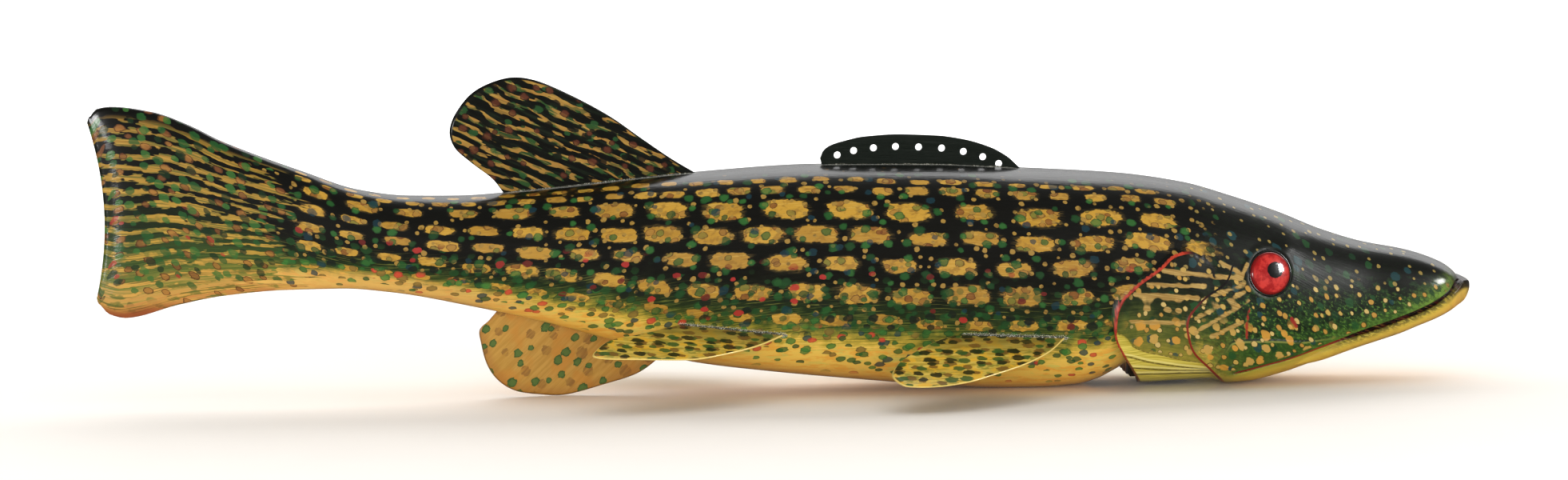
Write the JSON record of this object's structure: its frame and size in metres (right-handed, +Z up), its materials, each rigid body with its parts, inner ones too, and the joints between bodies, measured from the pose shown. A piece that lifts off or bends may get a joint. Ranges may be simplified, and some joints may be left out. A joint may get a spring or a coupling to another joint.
{
  "type": "fish decoy",
  "caption": "Folk-carved pike decoy with thin sheet-metal fins, a perforated line-tie plate on the back, carved gill covers and domed eyes.",
  "frame": {"origin": "on the ground under the middle of the body's length", "axes": "+X to the jaw tip, +Z up, +Y to the fish's left"},
  "size_m": [0.52, 0.124, 0.1192],
  "materials": {
    "painted_wood": "hand-painted, glossy varnish",
    "dark_sheet": "black-green paint, gloss",
    "ochre_sheet": "ochre paint, gloss",
    "red_eye": "red and black gloss paint"
  },
  "bodies": {
    "root": {"body": "painted_wood", "tie_plate": "dark_sheet", "dorsal_fin": "dark_sheet", "anal_fin": "ochre_sheet", "pectoral_fin_right": "ochre_sheet", "pectoral_fin_left": "ochre_sheet", "pelvic_fin_right": "ochre_sheet", "pelvic_fin_left": "ochre_sheet", "eye_right": "red_eye", "eye_left": "red_eye"}
  },
  "joints": []
}
